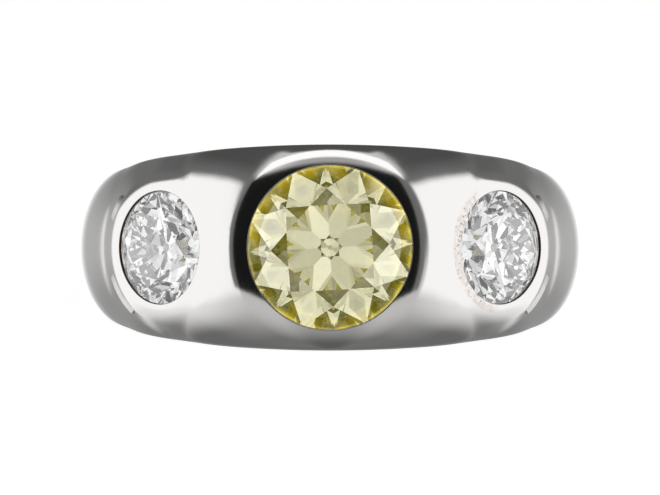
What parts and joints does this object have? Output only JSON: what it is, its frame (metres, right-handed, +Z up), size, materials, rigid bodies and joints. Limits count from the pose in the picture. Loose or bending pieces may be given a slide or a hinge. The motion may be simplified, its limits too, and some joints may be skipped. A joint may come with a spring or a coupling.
{
  "type": "flush set gypsy ring",
  "caption": "Domed finger ring in polished white metal, wide at the head and narrow behind, with a pale yellow round stone in a low collar and a smaller clear stone sunk at each side.",
  "frame": {"origin": "middle of the footprint's box, on the surface that the ring lies on with one flat side down", "axes": "+X to the right of the picture, -Y the way the head and its centre stone face, +Z up; the finger hole runs up and leans 7.6 degrees towards +Y"},
  "size_m": [0.0208, 0.0228, 0.0082],
  "materials": {
    "platinum": "polished, with fine wear",
    "yellow_diamond": "cut and polished",
    "white_diamond": "cut and polished"
  },
  "bodies": {
    "root": {"band": "platinum", "centre_stone": "yellow_diamond", "left_stone": "white_diamond", "right_stone": "white_diamond"}
  },
  "joints": []
}
